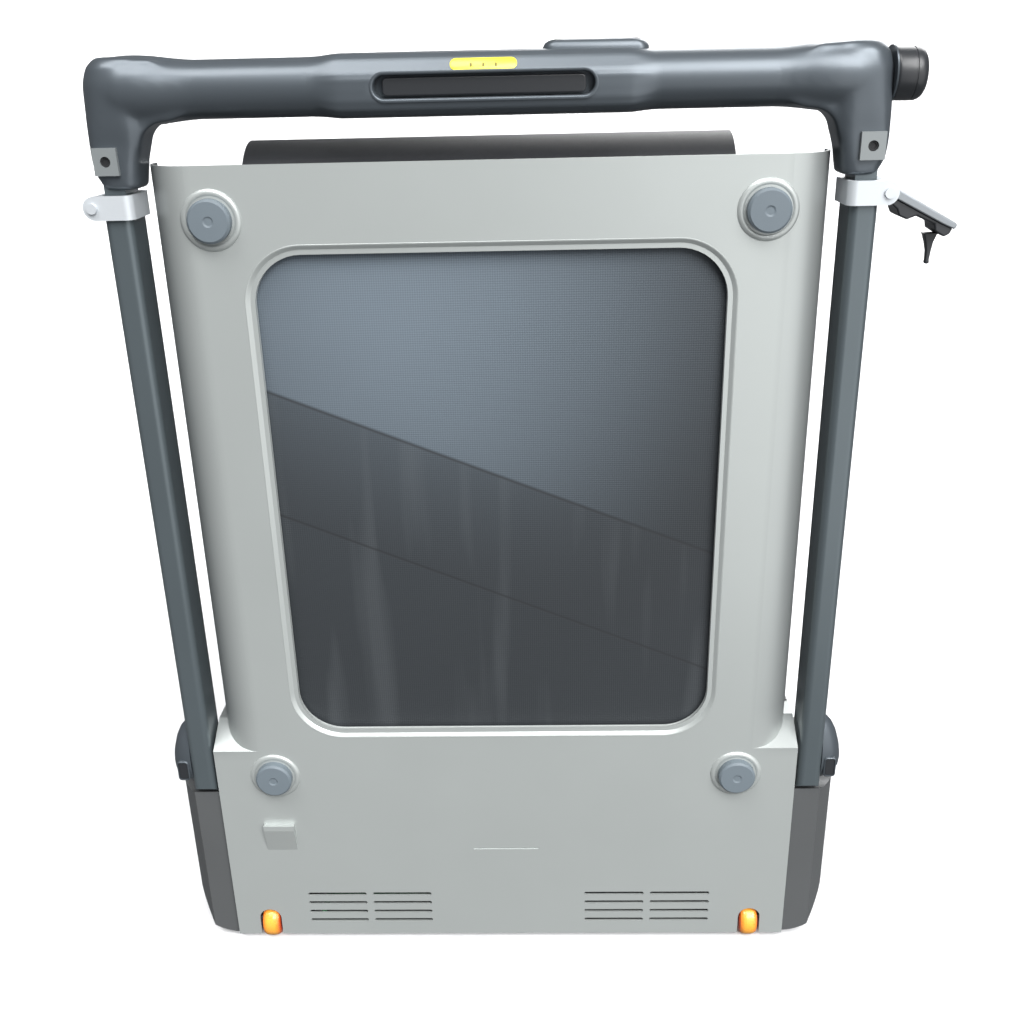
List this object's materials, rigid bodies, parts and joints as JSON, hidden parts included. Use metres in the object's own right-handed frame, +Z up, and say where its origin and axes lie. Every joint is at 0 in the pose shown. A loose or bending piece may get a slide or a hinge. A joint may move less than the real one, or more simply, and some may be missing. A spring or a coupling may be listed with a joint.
{
  "type": "folding treadmill",
  "caption": "Compact treadmill stored upright on its motor end, deck folded double, handle frame folded flat round it and a telescopic grip bar on top",
  "frame": {"origin": "centre of the bounding box on the floor it stands on when stored", "axes": "+Z up in the stored pose, -Y the way the underside of the motor half faces, +X to the right as that underside is looked at"},
  "size_m": [0.7864, 0.166, 0.969],
  "materials": {
    "shell_silver": "fine satin silver paint on a moulded shell",
    "dark_plastic": "fine moulded grain, dark grey",
    "graphite_paint": "satin graphite paint",
    "black_steel": "black powder coat",
    "deck_board": "laminated board, phenolic faced",
    "rubber_grey": "plain moulded grey rubber",
    "rubber_black": "plain black rubber",
    "belt_weave": "woven polyester backing of a walking belt",
    "belt_pvc": "diamond embossed belt face",
    "wheel_orange": "translucent orange moulding",
    "clamp_alloy": "die cast, light silver",
    "steel": "turned steel",
    "grip_grey": "soft dark grey moulding",
    "console_black": "dark satin moulding",
    "label_yellow": "plain yellow tab with three small ticks, no words",
    "board_green": "circuit board",
    "button_green": "moulded",
    "button_red": "moulded"
  },
  "bodies": {
    "base": {"bottom_cover": "shell_silver", "side_panel_l": "dark_plastic", "side_panel_r": "dark_plastic", "motor_hood": "dark_plastic", "rails": "black_steel", "cross_members": "black_steel", "running_board": "deck_board", "cushions": "rubber_black", "foot_rails": "dark_plastic", "feet": "rubber_grey", "end_feet": "rubber_black", "drive_motor": "black_steel", "drive_belt": "rubber_black", "controller": "board_green", "power_inlet": "console_black", "wheel_axles": "steel", "roller_axle": "steel", "belt_top": "belt_pvc", "belt_return": "belt_weave", "hinge_brackets": "black_steel", "pivot_pins": "steel"},
    "motor_shaft": {"motor_rotor": "steel"},
    "rocker": {"power_switch": "button_red"},
    "left_wheel": {"wheel_l": "wheel_orange"},
    "right_wheel": {"wheel_r": "wheel_orange"},
    "front_roller": {"drive_roller": "steel"},
    "fold_link": {"hinge_links": "steel", "belt_fold": "belt_pvc"},
    "rear_deck": {"rear_brackets": "black_steel", "rear_cover": "shell_silver", "rear_rails": "black_steel", "rear_cross": "black_steel", "rear_board": "deck_board", "rear_foot_rails": "dark_plastic", "rear_feet": "rubber_grey", "rear_belt": "belt_pvc", "tail_caps": "dark_plastic"},
    "end_roller": {"tail_roller": "steel"},
    "handle": {"upright_l": "graphite_paint", "upright_r": "graphite_paint", "pivot_cover_l": "grip_grey", "pivot_cover_r": "grip_grey", "collar_l": "clamp_alloy", "collar_r": "clamp_alloy"},
    "left_lock": {"lock_button_l": "console_black"},
    "right_lock": {"lock_button_r": "console_black"},
    "lever": {"clamp_lever": "clamp_alloy"},
    "handlebar": {"inner_tubes": "graphite_paint", "corner_l": "grip_grey", "corner_r": "grip_grey", "insert_plates": "graphite_paint", "bar_tubes": "grip_grey", "console": "console_black", "slot_tray": "console_black", "label": "label_yellow", "pod": "grip_grey"},
    "start_key": {"start_button": "button_green"},
    "stop_key": {"stop_button": "button_red"},
    "knob": {"speed_knob": "console_black"}
  },
  "joints": [
    {"name": "fold_front", "type": "hinge", "parent": "base", "child": "fold_link", "pos_m": [-0.02518, -0.007, 0.828], "axis": [1, 0, 0], "range_deg": [0, 90], "deforming": ["belt_fold"]},
    {"name": "fold_rear", "type": "hinge", "parent": "fold_link", "child": "rear_deck", "pos_m": [-0.02518, 0.007, 0.828], "axis": [1, 0, 0], "range_deg": [0, 90], "deforming": ["belt_fold"]},
    {"name": "handle_fold", "type": "hinge", "parent": "base", "child": "handle", "pos_m": [-0.02518, -0.046, 0.238], "axis": [-1, 0, 0], "range_deg": [0, 90]},
    {"name": "handlebar_slide", "type": "slide", "parent": "handle", "child": "handlebar", "axis": [0, 0, 1], "range_m": [0, 0.18]},
    {"name": "clamp_swing", "type": "hinge", "parent": "handle", "child": "lever", "pos_m": [0.32682, -0.05, 0.8385], "axis": [0, 1, 0], "range_deg": [-25, 34]},
    {"name": "left_unlock", "type": "slide", "parent": "handle", "child": "left_lock", "axis": [0, 1, 0], "range_m": [0, 0.004], "stiffness_N_per_m": 400},
    {"name": "right_unlock", "type": "slide", "parent": "handle", "child": "right_lock", "axis": [0, 1, 0], "range_m": [0, 0.004], "stiffness_N_per_m": 400},
    {"name": "left_wheel_spin", "type": "hinge", "parent": "base", "child": "left_wheel", "pos_m": [-0.30318, -0.058, 0.02], "axis": [1, 0, 0], "continuous": true},
    {"name": "right_wheel_spin", "type": "hinge", "parent": "base", "child": "right_wheel", "pos_m": [0.25282, -0.058, 0.02], "axis": [1, 0, 0], "continuous": true},
    {"name": "belt_drive", "type": "hinge", "parent": "base", "child": "front_roller", "pos_m": [-0.02518, -0.0365, 0.262], "axis": [1, 0, 0], "continuous": true},
    {"name": "motor_spin", "type": "hinge", "parent": "base", "child": "motor_shaft", "pos_m": [0.07482, -0.006, 0.122], "axis": [1, 0, 0], "continuous": true},
    {"name": "tail_spin", "type": "hinge", "parent": "rear_deck", "child": "end_roller", "pos_m": [-0.02518, 0.0365, 0.33], "axis": [1, 0, 0], "continuous": true},
    {"name": "power_rock", "type": "hinge", "parent": "base", "child": "rocker", "pos_m": [-0.00818, 0.058, 0.06], "axis": [1, 0, 0], "range_deg": [-16, 0]},
    {"name": "start_press", "type": "slide", "parent": "handlebar", "child": "start_key", "axis": [0, -1, 0], "range_m": [0, 0.002], "stiffness_N_per_m": 400},
    {"name": "stop_press", "type": "slide", "parent": "handlebar", "child": "stop_key", "axis": [0, -1, 0], "range_m": [0, 0.002], "stiffness_N_per_m": 400},
    {"name": "speed_turn", "type": "hinge", "parent": "handlebar", "child": "knob", "pos_m": [0.32482, -0.05, 0.935], "axis": [1, 0, 0], "continuous": true}
  ],
  "couplings": [
    {"joint": "motor_spin", "follows": "belt_drive", "ratio": 1.65},
    {"joint": "tail_spin", "follows": "belt_drive", "ratio": 1}
  ]
}
